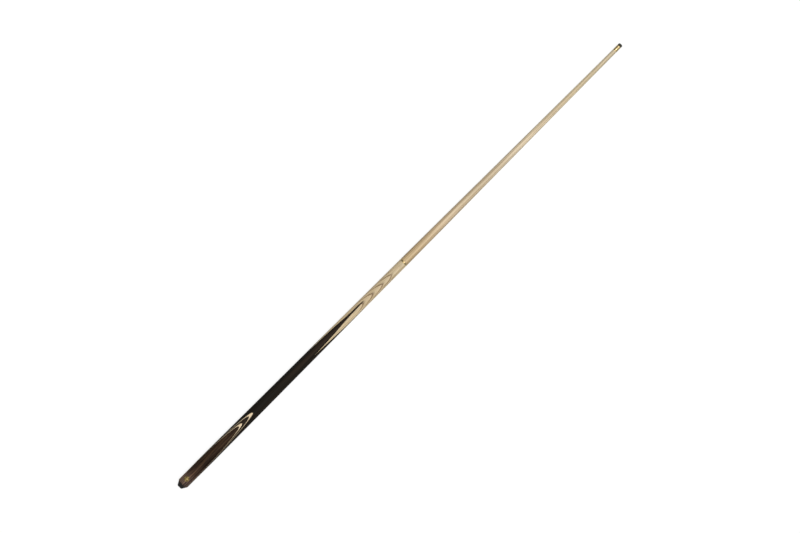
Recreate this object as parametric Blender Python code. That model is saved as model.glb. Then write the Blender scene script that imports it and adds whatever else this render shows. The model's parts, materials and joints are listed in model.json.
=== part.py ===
"""A two-piece ash and ebony cue, lying on its side on a flat surface.

Metres, +Z up. +X runs from the butt to the tip. The origin is under the middle of the cue, on the surface.
Every piece is modelled along the cue's own axis: X is the distance from the butt's end, and +Z is its front,
the side with the badge. The empty cue_axis then lays that axis down, so that the cone of the butt rests on
its lowest line.
"""

import math

import bmesh
import bpy

# The whole cue, along its axis.
LENGTH = 1.448
JOINT_X = 0.735
SIDES = 32
GAP = 0.0003

# Butt: chamfered end with an eased edge, slight swell, then one straight cone up to the joint.
BUTT_END_X = 0.0092
SHOULDER = ((BUTT_END_X, 0.01155), (0.0110, 0.0127), (0.0130, 0.0135), (0.0160, 0.0137))
SWELL = ((0.040, 0.0137), (0.075, 0.0140))
CONE_START_X = 0.105
CONE_START_RADIUS = 0.01405
JOINT_RADIUS = 0.0104
CONE_SLOPE = (CONE_START_RADIUS - JOINT_RADIUS) / (JOINT_X - CONE_START_X)

# Shaft: nearly cylindrical past the joint, quicker through the middle, slow again under the ferrule.
SHAFT_TAPER = (
    (0.790, 0.00996),
    (0.850, 0.00957),
    (0.940, 0.00878),
    (1.032, 0.00798),
    (1.125, 0.00722),
    (1.218, 0.00650),
    (1.310, 0.00588),
)
SHAFT_END_RADIUS = 0.00515
FERRULE_LENGTH = 0.0148
FERRULE_RADIUS = 0.00525
FERRULE_BORE = 0.0041
TIP_LENGTH = 0.0067
TIP_RADIUS = 0.00520
TIP_SIDE_LENGTH = 0.0042
TIP_DOME_STEPS = 4
TIP_START_X = LENGTH - TIP_LENGTH
FERRULE_START_X = TIP_START_X - FERRULE_LENGTH
TENON_RADIUS = FERRULE_BORE - GAP

# Four ebony splices let into the ash, the front and back ones reaching further than the other two.
# SPLICE_WIDENING gives half the degrees of the butt's roundness that a splice covers, at distances behind
# its point: a slim blunt point, then a wider body, up to the valley where it meets its neighbours.
SPLICE_APEX_X = 0.608
SPLICE_SETBACKS = (("front", 0.0), ("right", 0.010), ("back", 0.0), ("left", 0.010))
SPLICE_TURN = math.radians(-8.5)
SPLICE_WIDENING = (
    (0.000, 1.0),
    (0.004, 4.2),
    (0.013, 7.8),
    (0.026, 10.2),
    (0.046, 12.8),
    (0.065, 17.6),
    (0.083, 25.0),
    (0.101, 31.8),
    (0.128, 38.4),
    (0.164, 45.0),
)
QUARTER = math.radians(45)
POINT_DEPTH = 0.0012
POINT_HALF_WIDTH = 0.0003
CORE_END_HALF = 0.0065

# Front splice: gently curved cuts through the front of the butt, each starting nearer the butt's end.
# Each has the place of its apex, its slope there, and how fast that slope eases behind it, per metre.
FRONT_LAYERS = (
    ("veneer_outer", 0.2420, 0.057, 0.035),
    ("veneer_black", 0.2300, 0.057, 0.035),
    ("veneer_inner", 0.2070, 0.062, 0.045),
    ("rosewood_panel", 0.1975, 0.062, 0.045),
)
FRONT_REACH_X = 0.255
FRONT_STEPS = 8

# Badge let into the rosewood.
BADGE_X = 0.0262
BADGE_RADIUS = 0.0062
BADGE_DEPTH = 0.0026

# Screw joint between the halves: brass insert and stud in the butt, brass bush in the shaft.
# Each sleeve ends in a collar as wide as the wood, and the two collars meet at the joint.
THREAD_RADIUS = 0.0046
THREAD_NECK = 0.0040
SLEEVE_RADIUS = 0.0070
SLEEVE_LENGTH = 0.0300
COLLAR_LENGTH = 0.0021
BUTT_WOOD_END_X = JOINT_X - COLLAR_LENGTH - GAP
SHAFT_WOOD_START_X = JOINT_X + COLLAR_LENGTH + GAP
STUD_START_X = JOINT_X - SLEEVE_LENGTH
STUD_THREAD_END_X = JOINT_X + 0.017
STUD_END_X = JOINT_X + 0.021
STUD_PILOT_RADIUS = 0.0035

# Under the rubber foot: a bored hole with a weight, a plug over it, and the foot's screw and washer.
BORE_RADIUS = 0.0048
BORE_END_X = 0.066
PLUG_END_X = 0.024
SCREW_RADIUS = 0.0019
SCREW_HEAD_RADIUS = 0.0036
SCREW_HEAD_X = 0.0007
SCREW_HEAD_LENGTH = 0.0016
SCREW_END_X = 0.022
WASHER_RADIUS = 0.0042
WASHER_LENGTH = 0.0008
WASHER_X = 0.0026
BUMPER_RADIUS = 0.0113
BUMPER_FACE_RADIUS = 0.0057
BUMPER_EDGE = ((0.0004, 0.0062), (0.0011, 0.0067))
BUMPER_RECESS_RADIUS = 0.0045

# Where cutters may end: clear of the wood on every side.
OUTSIDE = 0.020
PAST_END = 0.004

COLOURS = {
    "ash": ((0.62, 0.47, 0.28), 0.35, 0.0),
    "ebony": ((0.018, 0.014, 0.012), 0.28, 0.0),
    "rosewood": ((0.065, 0.032, 0.019), 0.30, 0.0),
    "pale_veneer": ((0.60, 0.48, 0.30), 0.35, 0.0),
    "black_veneer": ((0.020, 0.020, 0.018), 0.35, 0.0),
    "brass": ((0.72, 0.53, 0.22), 0.28, 1.0),
    "steel": ((0.55, 0.55, 0.56), 0.30, 1.0),
    "leather": ((0.045, 0.042, 0.030), 0.85, 0.0),
    "rubber": ((0.022, 0.021, 0.020), 0.75, 0.0),
    "badge": ((0.70, 0.55, 0.24), 0.30, 1.0),
}


def clear_scene():
    for obj in list(bpy.data.objects):
        bpy.data.objects.remove(obj, do_unlink=True)


def make_materials():
    made = {}
    for name, (colour, roughness, metallic) in COLOURS.items():
        made[name] = bpy.data.materials.new(name)
        made[name].use_nodes = True
        shader = made[name].node_tree.nodes["Principled BSDF"]
        shader.inputs["Base Color"].default_value = (*colour, 1.0)
        shader.inputs["Roughness"].default_value = roughness
        shader.inputs["Metallic"].default_value = metallic
    return made


def lay_down_axis():
    """An empty whose X is the cue's axis, tilted so that the underside of the butt's cone is level."""
    tilt = math.atan(CONE_SLOPE)
    end_radius = CONE_START_RADIUS + CONE_SLOPE * CONE_START_X
    axis = bpy.data.objects.new("cue_axis", None)
    axis.location = (-LENGTH / 2 * math.cos(tilt), 0, end_radius * math.cos(tilt))
    axis.rotation_euler = (0, tilt, 0)
    bpy.context.scene.collection.objects.link(axis)
    return axis


def skinned(name, rings, parent, material=None, hollow=False):
    """An object whose faces join each ring of points to the next: capped at both ends, or a closed tube."""
    bm = bmesh.new()
    loops = [[bm.verts.new(point) for point in ring] for ring in rings]
    pairs = list(zip(loops, loops[1:]))
    if hollow:
        pairs.append((loops[-1], loops[0]))
    else:
        bm.faces.new(loops[0])
        bm.faces.new(loops[-1])
    for near, far in pairs:
        for k in range(len(near)):
            bm.faces.new((near[k - 1], near[k], far[k], far[k - 1]))
    bmesh.ops.recalc_face_normals(bm, faces=bm.faces)
    mesh = bpy.data.meshes.new(name)
    bm.to_mesh(mesh)
    bm.free()
    obj = bpy.data.objects.new(name, mesh)
    bpy.context.scene.collection.objects.link(obj)
    obj.parent = parent
    if material:
        mesh.materials.append(material)
        mesh.shade_smooth()
        mesh.set_sharp_from_angle(angle=math.radians(30))
    return obj


def around_axis(y, z, turn):
    """A point of a cross-section, turned about the axis: a positive turn takes the front towards -Y."""
    return y * math.cos(turn) - z * math.sin(turn), y * math.sin(turn) + z * math.cos(turn)


def turned(name, outline, parent, material=None, hollow=False):
    """A solid of revolution. The flats of its sides touch the true radius, and one flat faces each way."""
    rings = []
    for x, radius in outline:
        corner = radius / math.cos(math.pi / SIDES)
        turns = [(k + 0.5) * math.tau / SIDES for k in range(SIDES)]
        rings.append([(x, *around_axis(0, corner, turn)) for turn in turns])
    return skinned(name, rings, parent, material, hollow)


def dome(x_start, radius_start, x_end, radius_end, steps):
    """Points of a quarter ellipse that leaves its start along the axis."""
    points = []
    for k in range(steps + 1):
        angle = math.pi / 2 * k / steps
        x = x_start + (x_end - x_start) * math.sin(angle)
        radius = radius_end + (radius_start - radius_end) * math.cos(angle)
        points.append((x, radius))
    return points


def boolean(target, cutter, operation):
    modifier = target.modifiers.new(cutter.name, "BOOLEAN")
    modifier.operation = operation
    modifier.object = cutter
    modifier.solver = "EXACT"


def as_cutter(obj):
    obj.hide_render = True
    obj.display_type = "WIRE"
    return obj


def cylinder_cutter(name, x_start, x_end, radius, parent):
    return as_cutter(turned(name, ((x_start, radius), (x_end, radius)), parent))


def butt_radius(x):
    """Radius of the straight cone, which every splice reaches the surface of."""
    return CONE_START_RADIUS - CONE_SLOPE * (x - CONE_START_X)


def butt_outline():
    cone = [(x, butt_radius(x)) for x in (CONE_START_X, BUTT_WOOD_END_X)]
    return [*SHOULDER, *SWELL, *cone]


def splice_sections(setback, grow):
    """Cross-sections of one ebony splice at its turn of 0, each side moved out by grow."""
    stations = []
    for behind_point, degrees in SPLICE_WIDENING:
        x = SPLICE_APEX_X - setback - behind_point
        half_angle = math.radians(degrees)
        outer = butt_radius(x)
        floor = min(outer * math.cos(half_angle), outer - POINT_DEPTH)
        stations.append((x, half_angle, floor, outer))
    stations[0] = (stations[0][0] + grow, *stations[0][1:])
    stations.append((-PAST_END, QUARTER, CORE_END_HALF, OUTSIDE))
    sections = []
    for x, half_angle, floor, outer in stations:
        slope = math.tan(half_angle)
        least = POINT_HALF_WIDTH if half_angle < QUARTER else 0
        inner_half = max(floor * slope, least) + grow / math.cos(half_angle)
        outer_half = inner_half + (OUTSIDE - floor) * slope
        low = floor - grow
        corners = ((-inner_half, low), (inner_half, low), (outer_half, OUTSIDE), (-outer_half, OUTSIDE))
        sections.append((x, corners))
    return sections


def splice_cutter(name, setback, turn, grow, parent):
    sections = splice_sections(setback, grow)
    rings = [[(x, *around_axis(y, z, turn)) for y, z in corners] for x, corners in sections]
    return as_cutter(skinned(name, rings, parent))


def front_height(layer, x):
    """Height over the axis of the cut under a front layer."""
    _, apex_x, slope, ease = FRONT_LAYERS[layer]
    behind_apex = apex_x - x
    return butt_radius(apex_x) - slope * behind_apex + ease * behind_apex**2


def front_cutter(name, layer, low_gap, parent, next_layer=None):
    """The space between one cut of the front splice and the next, or everything over it."""
    rings = []
    for step in range(FRONT_STEPS + 1):
        x = -PAST_END + (FRONT_REACH_X + PAST_END) * step / FRONT_STEPS
        low = front_height(layer, x) + low_gap
        high = OUTSIDE if next_layer is None else front_height(next_layer, x) - GAP / 2
        rings.append([(x, -OUTSIDE, low), (x, OUTSIDE, low), (x, OUTSIDE, high), (x, -OUTSIDE, high)])
    return as_cutter(skinned(name, rings, parent))


def badge_cutter(name, radius, depth, parent):
    """An upright post over the badge's place, which keeps or clears a plate of this depth."""
    floor = SWELL[0][1] - depth
    rings = []
    for z in (floor, OUTSIDE):
        turns = [k * math.tau / SIDES for k in range(SIDES)]
        rings.append([(BADGE_X + radius * math.cos(a), radius * math.sin(a), z) for a in turns])
    return as_cutter(skinned(name, rings, parent))


def make_butt_wood(parent, materials):
    """The ash core, the ebony splices and the layers of the front splice, all cut from one turned shape."""
    front_clearing = front_cutter("cutter_front", 0, -GAP / 2, parent)
    weight_bore = cylinder_cutter("cutter_weight_bore", -PAST_END, BORE_END_X, BORE_RADIUS, parent)
    socket_start = STUD_START_X - GAP
    insert_socket = cylinder_cutter(
        "cutter_insert_socket", socket_start, JOINT_X + PAST_END, SLEEVE_RADIUS + GAP, parent
    )

    core = turned("butt_ash_core", butt_outline(), parent, materials["ash"])
    for k, (side, setback) in enumerate(SPLICE_SETBACKS):
        turn = SPLICE_TURN + k * 2 * QUARTER
        pocket = splice_cutter(f"cutter_pocket_{side}", setback, turn, GAP / 2, parent)
        boolean(core, pocket, "DIFFERENCE")
        ebony = turned(f"ebony_splice_{side}", butt_outline(), parent, materials["ebony"])
        wedge = splice_cutter(f"cutter_splice_{side}", setback, turn, -GAP / 2, parent)
        boolean(ebony, wedge, "INTERSECT")
        boolean(ebony, front_clearing, "DIFFERENCE")
    for cutter in (front_clearing, weight_bore, insert_socket):
        boolean(core, cutter, "DIFFERENCE")

    woods = ("pale_veneer", "black_veneer", "pale_veneer", "rosewood")
    for layer, (name, *_) in enumerate(FRONT_LAYERS):
        next_layer = layer + 1 if layer + 1 < len(FRONT_LAYERS) else None
        piece = turned(name, butt_outline(), parent, materials[woods[layer]])
        boolean(piece, front_cutter(f"cutter_{name}", layer, GAP / 2, parent, next_layer), "INTERSECT")
        if front_height(layer, BUTT_END_X) < BORE_RADIUS:
            boolean(piece, weight_bore, "DIFFERENCE")

    # The last piece made is the rosewood, which the badge is let into.
    badge_pocket = badge_cutter("cutter_badge_pocket", BADGE_RADIUS + GAP, BADGE_DEPTH + GAP, parent)
    boolean(piece, badge_pocket, "DIFFERENCE")
    badge = turned("badge", butt_outline(), parent, materials["badge"])
    boolean(badge, badge_cutter("cutter_badge", BADGE_RADIUS, BADGE_DEPTH, parent), "INTERSECT")


def make_butt_end(parent, materials):
    """What is in and under the butt's end: weight, plug, rubber foot, washer and screw."""
    weight = ((PLUG_END_X + GAP, BORE_RADIUS - GAP), (BORE_END_X - GAP, BORE_RADIUS - GAP))
    turned("balance_weight", weight, parent, materials["steel"])
    hole = SCREW_RADIUS + GAP
    plug = (
        (BUTT_END_X, hole),
        (BUTT_END_X, BORE_RADIUS - GAP),
        (PLUG_END_X, BORE_RADIUS - GAP),
        (PLUG_END_X, hole),
    )
    turned("weight_plug", plug, parent, materials["ebony"], hollow=True)

    foot_top = BUTT_END_X - GAP
    recess = WASHER_X + WASHER_LENGTH + GAP
    bumper = (
        (0, BUMPER_RECESS_RADIUS),
        (0, BUMPER_FACE_RADIUS),
        *BUMPER_EDGE,
        (foot_top, BUMPER_RADIUS),
        (foot_top, hole),
        (recess, hole),
        (recess, BUMPER_RECESS_RADIUS),
    )
    turned("bumper", bumper, parent, materials["rubber"], hollow=True)
    washer = (
        (WASHER_X, hole),
        (WASHER_X, WASHER_RADIUS),
        (WASHER_X + WASHER_LENGTH, WASHER_RADIUS),
        (WASHER_X + WASHER_LENGTH, hole),
    )
    turned("bumper_washer", washer, parent, materials["steel"], hollow=True)
    head_end = SCREW_HEAD_X + SCREW_HEAD_LENGTH
    screw = (
        (SCREW_HEAD_X, SCREW_HEAD_RADIUS * 0.75),
        (SCREW_HEAD_X + SCREW_HEAD_LENGTH / 3, SCREW_HEAD_RADIUS),
        (head_end, SCREW_HEAD_RADIUS),
        (head_end, SCREW_RADIUS),
        (SCREW_END_X - SCREW_RADIUS, SCREW_RADIUS),
        (SCREW_END_X, SCREW_RADIUS / 4),
    )
    turned("bumper_screw", screw, parent, materials["steel"])


def make_joint(parent, materials):
    """Insert and stud fixed in the butt, and the bush fixed in the shaft."""
    hole = THREAD_RADIUS + GAP
    for name, side in (("butt_joint_insert", -1), ("shaft_joint_bush", 1)):
        face = JOINT_X + side * GAP / 2
        collar_end = JOINT_X + side * COLLAR_LENGTH
        sleeve_end = JOINT_X + side * SLEEVE_LENGTH
        outline = (
            (face, hole),
            (face, butt_radius(face)),
            (collar_end, butt_radius(collar_end)),
            (collar_end, SLEEVE_RADIUS),
            (sleeve_end, SLEEVE_RADIUS),
            (sleeve_end, hole),
        )
        turned(name, outline, parent, materials["brass"], hollow=True)
    neck = THREAD_RADIUS - THREAD_NECK
    stud = (
        (STUD_START_X, THREAD_NECK),
        (STUD_START_X + neck, THREAD_RADIUS),
        (JOINT_X - 3 * neck, THREAD_RADIUS),
        (JOINT_X - 2 * neck, THREAD_NECK),
        (JOINT_X + 2 * neck, THREAD_NECK),
        (JOINT_X + 3 * neck, THREAD_RADIUS),
        (STUD_THREAD_END_X, THREAD_RADIUS),
        (STUD_THREAD_END_X + neck, STUD_PILOT_RADIUS),
        (STUD_END_X - neck, STUD_PILOT_RADIUS),
        (STUD_END_X, STUD_PILOT_RADIUS - neck),
    )
    turned("joint_stud", stud, parent, materials["brass"])


def make_front_half(parent, materials):
    """The shaft with its tenon, the ferrule over the tenon and the tip."""
    wood_end = FERRULE_START_X
    outline = [
        (SHAFT_WOOD_START_X, butt_radius(SHAFT_WOOD_START_X)),
        *SHAFT_TAPER,
        (wood_end, SHAFT_END_RADIUS),
        (wood_end, TENON_RADIUS),
        (TIP_START_X - GAP, TENON_RADIUS),
    ]
    shaft = turned("shaft_wood", outline, parent, materials["ash"])
    bush_end = JOINT_X + SLEEVE_LENGTH + GAP
    socket = cylinder_cutter("cutter_bush_socket", JOINT_X - PAST_END, bush_end, SLEEVE_RADIUS + GAP, parent)
    boolean(shaft, socket, "DIFFERENCE")

    start = FERRULE_START_X + GAP
    end = TIP_START_X - GAP
    ferrule = ((start, FERRULE_BORE), (start, FERRULE_RADIUS), (end, FERRULE_RADIUS), (end, FERRULE_BORE))
    turned("ferrule", ferrule, parent, materials["brass"], hollow=True)
    side_end = TIP_START_X + TIP_SIDE_LENGTH
    crown = dome(side_end, TIP_RADIUS, LENGTH, TIP_RADIUS / 4, TIP_DOME_STEPS)
    turned("tip", [(TIP_START_X, TIP_RADIUS), *crown], parent, materials["leather"])


def main():
    clear_scene()
    materials = make_materials()
    axis = lay_down_axis()
    make_butt_end(axis, materials)
    make_butt_wood(axis, materials)
    make_joint(axis, materials)
    make_front_half(axis, materials)


main()
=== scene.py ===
"""The looks of a two-piece ash and ebony cue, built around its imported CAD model.

Metres, +Z up. The pieces are modelled in the cue's own frame: X is the distance from the butt's end and +Z is
the front, the side with the badge. cue_matrix() lays that frame down where the CAD has it.
"""

import json
import math

import bmesh
import bpy
import numpy as np
from mathutils import Matrix, Vector, noise


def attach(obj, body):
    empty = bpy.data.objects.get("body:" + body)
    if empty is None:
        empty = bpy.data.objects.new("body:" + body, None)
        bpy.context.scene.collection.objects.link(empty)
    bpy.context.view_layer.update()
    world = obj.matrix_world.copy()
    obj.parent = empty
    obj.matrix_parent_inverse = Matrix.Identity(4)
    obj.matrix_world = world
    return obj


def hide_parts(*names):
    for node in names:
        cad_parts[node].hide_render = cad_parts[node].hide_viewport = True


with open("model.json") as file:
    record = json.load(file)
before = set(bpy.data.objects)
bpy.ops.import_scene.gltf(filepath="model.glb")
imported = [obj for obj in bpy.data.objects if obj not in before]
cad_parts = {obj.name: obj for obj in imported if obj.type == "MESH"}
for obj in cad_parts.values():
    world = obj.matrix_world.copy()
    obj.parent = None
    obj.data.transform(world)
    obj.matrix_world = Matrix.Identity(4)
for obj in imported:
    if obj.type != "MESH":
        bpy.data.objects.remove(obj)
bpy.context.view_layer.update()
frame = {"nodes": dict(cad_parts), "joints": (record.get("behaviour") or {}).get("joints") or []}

MM = 0.001

# Facets round the cue. The CAD's flats touch the true radius, so its corners stand out by this ratio.
WOOD_SIDES = 96
SMALL_SIDES = 64
CAD_SIDES = 32
CORNER_RATIO = 1 / math.cos(math.pi / CAD_SIDES)

# Distance between the rings of a long taper, and the angle from which an edge is shaded as sharp.
RING_SPACING = 0.012
SHARP = math.radians(30)

# Outline of the butt's wood as (distance from the butt's end, radius), as the CAD has it.
BUTT_SHOULDER = ((0.0092, 0.01155), (0.0110, 0.0127), (0.0130, 0.0135), (0.0160, 0.0137))
BUTT_SWELL = ((0.016, 0.0137), (0.040, 0.0137), (0.075, 0.0140), (0.105, 0.01405))

# Ebony splices: the place of the front and back points, how much shorter the other two are, how far all four
# are turned from the badge, and a splice's half angle in degrees by the distance behind its point.
SPLICE_APEX_X = 0.608
SPLICE_SETBACKS = (("front", 0.0), ("right", 0.010), ("back", 0.0), ("left", 0.010))
SPLICE_TURN = math.radians(-8.5)
SPLICE_WIDENING = (
    (0.000, 1.0),
    (0.004, 4.2),
    (0.013, 7.8),
    (0.026, 10.2),
    (0.046, 12.8),
    (0.065, 17.6),
    (0.083, 25.0),
    (0.101, 31.8),
    (0.128, 38.4),
    (0.164, 45.0),
)
SPLICE_SPACING = 0.004
QUARTER = math.radians(45)

# Depth and half width of a splice's point, half the ash core's thickness at the butt's end, and the glue's.
POINT_DEPTH = 1.2 * MM
POINT_HALF_WIDTH = 0.10 * MM
CORE_END_HALF = 6.5 * MM
GLUE_LINE = 0.02 * MM

# Front splice: each layer's CAD node, the place of its tip, and the slope and curve of the cut under it. The
# cuts are carried on to a place past the tips, in equal steps.
FRONT_LAYERS = (
    ("veneer_outer", 0.2420, 0.057, 0.035),
    ("veneer_black", 0.2300, 0.057, 0.035),
    ("veneer_inner", 0.2070, 0.062, 0.045),
    ("rosewood_panel", 0.1975, 0.062, 0.045),
)
FRONT_REACH_X = 0.255
FRONT_STEPS = 24

# Joint: the plane where the halves meet, their collars with lines at shares of their length, and the thread,
# which has 14 turns to the inch and runs between two distances past that plane.
JOINT_X = 0.735
COLLAR_LENGTH = 2.1 * MM
COLLAR_LINES = (0.42, 0.66)
COLLAR_GAP = 0.02 * MM
THREAD_PITCH = 25.4 * MM / 14
THREAD_CUT = 0.6 * MM
THREAD_CLEARANCE = 0.3 * MM
BUSH_THREAD = (1 * MM, 19 * MM)
STUD_THREAD = (0.8 * MM, 17 * MM)

# How far cutters reach out from the axis and past the butt's end.
OUTSIDE = 0.020
PAST_END = 0.004

# Foot: radius of the hole for its screw, and the distance of the moulded line from its end. The corners of
# that line have their distance from its middle, depth and ease.
FOOT_HOLE = 2.2 * MM
FOOT_LINE_X = 6.6 * MM
FOOT_LINE = (
    (-0.35 * MM, 0, 0.1 * MM),
    (-0.15 * MM, 0.25 * MM, 0.06 * MM),
    (0.15 * MM, 0.25 * MM, 0.06 * MM),
    (0.35 * MM, 0, 0.1 * MM),
)

# Badge: a raised four-pointed star and a thin rim on a sunk field. The rim drops to a share of its height at
# the outer edge.
BADGE_X = 0.0262
BADGE_RADIUS = 6.2 * MM
BADGE_DEPTH = 2.6 * MM
BADGE_RIM = 0.55 * MM
BADGE_SUNK = 0.12 * MM
BADGE_PROUD = 0.02 * MM
BADGE_STEPS = 48
RIM_BEVEL = 0.2 * MM
RIM_EDGE = 0.15 * MM
RIM_EDGE_SHARE = 0.4
STAR_REACH = 5.9 * MM
STAR_WAIST = 2.5 * MM
STAR_BEVEL = 0.5 * MM
STAR_RIDGE = 0.03 * MM

# Growth rings of the back half: the apex of one arrow that they make on its front, the distance of the arrows
# and of the rings, the rings' lean round the cue, and the slope with which they fall away beside the front.
# A reach has the places where rings start to show, show fully, start to fade and are faint again.
ARROW_X = 0.663
ARROW_SPACING = 0.031
ARROWS_REACH = (0.572, 0.600, 0.690, 0.705)
RING_DISTANCE = 4.5 * MM
RING_LEAN = math.radians(7.6)
RING_ROOF = 0.14
FAINT = 0.12

# Growth rings of the shaft: their slope, distance and shift.
SHAFT_RING_SLOPE = -0.0055
SHAFT_RING_DISTANCE = 2.6 * MM
SHAFT_RING_SHIFT = 0.144
SHAFT_GRAIN_REACH = (0.70, 0.72, 1.30, 1.50)

# Colours of the pale ash, each with its place along the cue.
ASH_TONES_BACK = ((0.45, (0.52, 0.425, 0.27)), (0.62, (0.52, 0.415, 0.265)), (0.735, (0.50, 0.415, 0.275)))
ASH_TONES_FRONT = (
    (0.735, (0.51, 0.385, 0.22)),
    (0.80, (0.52, 0.40, 0.245)),
    (0.90, (0.57, 0.46, 0.315)),
    (1.07, (0.55, 0.46, 0.325)),
    (1.26, (0.66, 0.56, 0.39)),
    (1.36, (0.59, 0.515, 0.36)),
    (1.43, (0.51, 0.45, 0.32)),
)
EARLY_WOOD = (0.12, 0.063, 0.026, 1.0)
ASH_PORE = (0.13, 0.075, 0.035, 1.0)

# Two places on the shaft and its radii there, and the painted shade across it, darker at both edges and
# lighter on the -Y half, from the -Y side, at 0, to the +Y side, at 1.
SHAFT_SIDES = (JOINT_X, 1.43, 0.0104, 0.0051)
PAINTED_SIDE_SHADE = (
    (0.0, (0.68, 0.67, 0.65)),
    (0.10, (0.88, 0.88, 0.88)),
    (0.275, (1.05, 1.06, 1.07)),
    (0.5, (1.0, 1.0, 1.0)),
    (0.725, (0.92, 0.92, 0.91)),
    (0.90, (0.79, 0.78, 0.77)),
    (1.0, (0.64, 0.63, 0.61)),
)

# Shades of the dark woods' bands. Rosewood's are shares of its colours along the cue.
EBONY_SHADES = (
    (0.30, (0.0085, 0.0075, 0.0060)),
    (0.52, (0.0115, 0.0095, 0.0072)),
    (0.70, (0.023, 0.015, 0.010)),
)
ROSEWOOD_SHADES = (
    (0.36, (0.45, 0.42, 0.46)),
    (0.46, (0.80, 0.76, 0.78)),
    (0.55, (1.35, 1.25, 1.10)),
    (0.66, (2.00, 1.80, 1.50)),
)
ROSEWOOD_TONES = (
    (0.0092, (0.030, 0.022, 0.018)),
    (0.0118, (0.074, 0.056, 0.046)),
    (0.024, (0.078, 0.056, 0.045)),
    (0.045, (0.038, 0.0245, 0.0175)),
    (0.080, (0.020, 0.0130, 0.0085)),
    (0.125, (0.024, 0.0155, 0.0100)),
    (0.200, (0.026, 0.0165, 0.0100)),
)
DARK_PORE = (0.004, 0.003, 0.002, 1.0)

# The pale veneer's shades, from the middle of the butt at 0 to this far beside it at 1.
VENEER_REACH = 12 * MM
VENEER_SIDE_DARKENING = ((0.0, 1.12), (0.20, 1.0), (0.45, 0.62), (0.80, 0.42), (1.0, 0.30))

# The camera: its lens in millimetres, its lean and roll in degrees, the width that it sees at the cue, how
# far the picture's middle lies to the right of the cue's and above it, and how far away it still sees.
LENS = 200.0
CAMERA_LEAN = 5.6
CAMERA_ROLL = 45.06
VIEW_WIDTH = 1.852
FRAMING = (-0.0007, -0.0020)
FARTHEST = 200.0

# The setting: half the floor's width, the direction that the key light comes from, its strength and its width
# as an angle, and the sky's strength.
FLOOR_REACH = 60
WHITE = (1.0, 1.0, 1.0, 1.0)
KEY_TOWARD = (0.05, -0.21, 1.0)
KEY_STRENGTH = 2.9
KEY_WIDTH = math.radians(40)
SKY_STRENGTH = 0.35


# ---------------------------------------------------------------- reading the CAD


def cue_matrix():
    """From the cue's own frame to the row frame."""
    joint = next(j for j in frame["joints"] if j["name"] == "shaft_unscrew")
    along = Vector(joint["axis"]).normalized()
    side = Vector((0, 1, 0))
    turn = Matrix((along, side, along.cross(side))).transposed().to_4x4()
    return Matrix.Translation(Vector(joint["pos_m"]) - JOINT_X * along) @ turn


CUE = cue_matrix()
TO_CUE = CUE.inverted()


def cad_rings(node, highest=math.inf):
    """The CAD node's turned outline, as [(distance along the cue, radius)], up to a distance."""
    rings = {}
    for vertex in frame["nodes"][node].data.vertices:
        point = TO_CUE @ vertex.co
        x = round(point.x, 4)
        if x <= highest:
            rings[x] = max(rings.get(x, 0), math.hypot(point.y, point.z) / CORNER_RATIO)
    return sorted(rings.items())


def cad_radius(node, x):
    """Radius of the CAD node's ring nearest to x."""
    return min(cad_rings(node), key=lambda ring: abs(ring[0] - x))[1]


def cad_ends(node):
    """Where the CAD node starts and ends along the cue."""
    along = [(TO_CUE @ vertex.co).x for vertex in frame["nodes"][node].data.vertices]
    return min(along), max(along)


# ---------------------------------------------------------------- shapes


def smooth_taper(points, step=RING_SPACING):
    """More rings between the given ones, on a curve through them that never overshoots."""
    xs, rs = map(np.array, zip(*points))
    gaps, slopes = np.diff(xs), np.diff(rs) / np.diff(xs)
    tangents = np.empty(len(xs))
    tangents[0], tangents[-1] = slopes[0], slopes[-1]
    for k in range(1, len(xs) - 1):
        before, after = slopes[k - 1], slopes[k]
        tangents[k] = 0 if before * after <= 0 else 2 * before * after / (before + after)
    made = []
    for k, gap in enumerate(gaps):
        count = max(1, round(gap / step))
        for share in np.arange(count) / count:
            rise = (
                (1 + 2 * share) * (1 - share) ** 2 * rs[k]
                + share * (1 - share) ** 2 * gap * tangents[k]
                + share**2 * (3 - 2 * share) * rs[k + 1]
                - share**2 * (1 - share) * gap * tangents[k + 1]
            )
            made.append((xs[k] + share * gap, rise))
    return [(float(x), float(r)) for x, r in (*made, (xs[-1], rs[-1]))]


def eased(corners, steps=4):
    """An outline whose corners (x, radius, ease) are rounded off over the length of their ease."""
    made = []
    count = len(corners)
    for k, (x, r, ease) in enumerate(corners):
        here = Vector((x, r))
        if not ease:
            made.append((x, r))
            continue
        before, after = Vector(corners[k - 1][:2]), Vector(corners[(k + 1) % count][:2])
        start = here + (before - here).normalized() * ease
        end = here + (after - here).normalized() * ease
        for share in np.arange(steps + 1) / steps:
            point = start.lerp(here, share).lerp(here.lerp(end, share), share)
            made.append((point.x, point.y))
    return made


def placed(name, data):
    """A new object of a mesh, a light or a camera, in the scene."""
    obj = bpy.data.objects.new(name, data)
    bpy.context.scene.collection.objects.link(obj)
    return obj


def mesh_of(name, bm):
    mesh = bpy.data.meshes.new(name)
    bm.to_mesh(mesh)
    bm.free()
    return mesh


def around(sides):
    """The angles of a ring's corners."""
    return np.arange(sides) * math.tau / sides


def turned_line(x, radius, half_width, depth, ease):
    """Corners of a V-shaped line round a turned piece, for eased(). A negative half width reverses them."""
    return [
        (x - half_width, radius, ease),
        (x, radius - depth, ease + 0.01 * MM),
        (x + half_width, radius, ease),
    ]


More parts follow.
